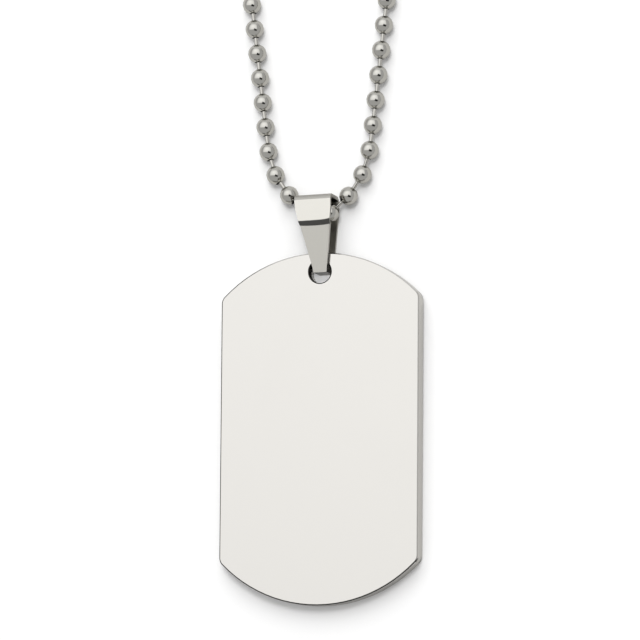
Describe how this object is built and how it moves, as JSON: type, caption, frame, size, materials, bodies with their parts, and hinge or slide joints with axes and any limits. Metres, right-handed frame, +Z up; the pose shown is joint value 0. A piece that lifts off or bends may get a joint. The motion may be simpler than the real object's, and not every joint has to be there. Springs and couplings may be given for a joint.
{
  "type": "dog tag necklace",
  "caption": "Polished steel identification tag with straight sides and curved ends, hung by a folded tapered bail on a loop of ball chain with a sleeve clasp, lying flat.",
  "frame": {"origin": "on the flat back of the bail, half way along it and on the tag's own middle line, where the necklace lies on a surface", "axes": "+Z up off the surface that it lies on, +Y along the necklace from the tag to the clasp, +X to the right seen from above"},
  "size_m": [0.0717, 0.3324, 0.0044],
  "materials": {
    "tag_steel": "stainless steel plate, polished bright",
    "bail_steel": "pressed stainless steel strip, polished",
    "ball_steel": "pressed hollow steel balls, tumbled bright",
    "pin_steel": "drawn steel wire, bright",
    "clasp_steel": "pressed steel sleeve, tumbled bright"
  },
  "bodies": {
    "root": {"tag": "tag_steel", "bail": "bail_steel", "chain_balls": "ball_steel", "chain_thread": "pin_steel", "clasp": "clasp_steel"}
  },
  "joints": []
}
